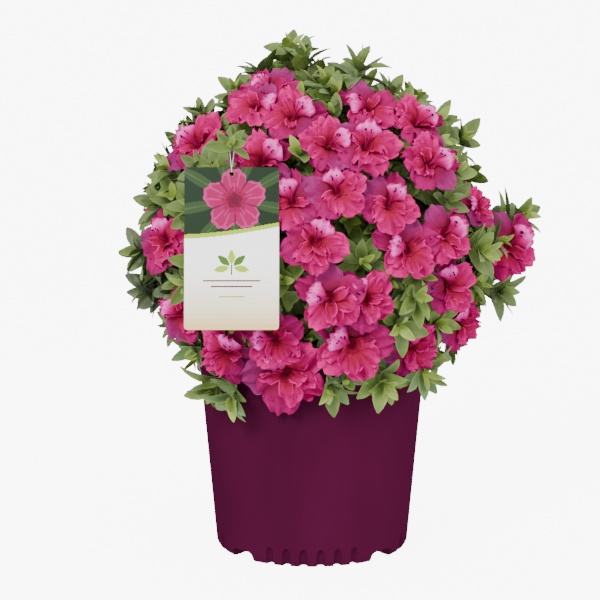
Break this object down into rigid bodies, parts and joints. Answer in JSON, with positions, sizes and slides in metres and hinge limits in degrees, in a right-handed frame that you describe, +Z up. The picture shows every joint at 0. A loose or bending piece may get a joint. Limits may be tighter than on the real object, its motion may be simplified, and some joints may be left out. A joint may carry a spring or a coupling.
{
  "type": "potted azalea shrub",
  "caption": "Rounded azalea shrub in flower with full ruffled pink blooms, growing in a tapered plastic nursery pot of bark mix, with a hang tag on a front twig.",
  "frame": {"origin": "middle of the pot's flat underside, on the surface that the plant stands on", "axes": "+Z up, -Y towards the front of the plant where the hang tag hangs, +X to the right seen from the front"},
  "size_m": [0.4921, 0.4437, 0.6072],
  "materials": {
    "pot_plastic": "satin moulded plastic",
    "bark_mix": "moist composted pine bark",
    "azalea_bark": "rough bark",
    "azalea_foliage": "soft leaf",
    "printed_card": "semi-matt printed plastic card",
    "loop_plastic": "smooth white plastic cord"
  },
  "bodies": {
    "root": {"nursery_pot": "pot_plastic", "potting_mix": "bark_mix", "main_stem": "azalea_bark", "bough_lower_front_left": "azalea_bark", "bough_lower_front": "azalea_bark", "bough_lower_front_right": "azalea_bark", "bough_lower_right": "azalea_bark", "bough_lower_back_right": "azalea_bark", "bough_lower_back_left": "azalea_bark", "bough_lower_left": "azalea_bark", "bough_upper_left": "azalea_bark", "bough_upper_front_left": "azalea_bark", "bough_upper_front": "azalea_bark", "bough_upper_front_right": "azalea_bark", "bough_upper_right": "azalea_bark", "bough_upper_back_right": "azalea_bark", "bough_upper_back_left": "azalea_bark", "bough_top": "azalea_bark", "foliage_lower_front_left": "azalea_foliage", "foliage_lower_front": "azalea_foliage", "foliage_lower_front_right": "azalea_foliage", "foliage_lower_right": "azalea_foliage", "foliage_lower_back_right": "azalea_foliage", "foliage_lower_back_left": "azalea_foliage", "foliage_lower_left": "azalea_foliage", "foliage_upper_left": "azalea_foliage", "foliage_upper_front_left": "azalea_foliage", "foliage_upper_front": "azalea_foliage", "foliage_upper_front_right": "azalea_foliage", "foliage_upper_right": "azalea_foliage", "foliage_upper_back_right": "azalea_foliage", "foliage_upper_back_left": "azalea_foliage", "foliage_top": "azalea_foliage", "hang_tag": "printed_card", "tag_loop": "loop_plastic"}
  },
  "joints": []
}
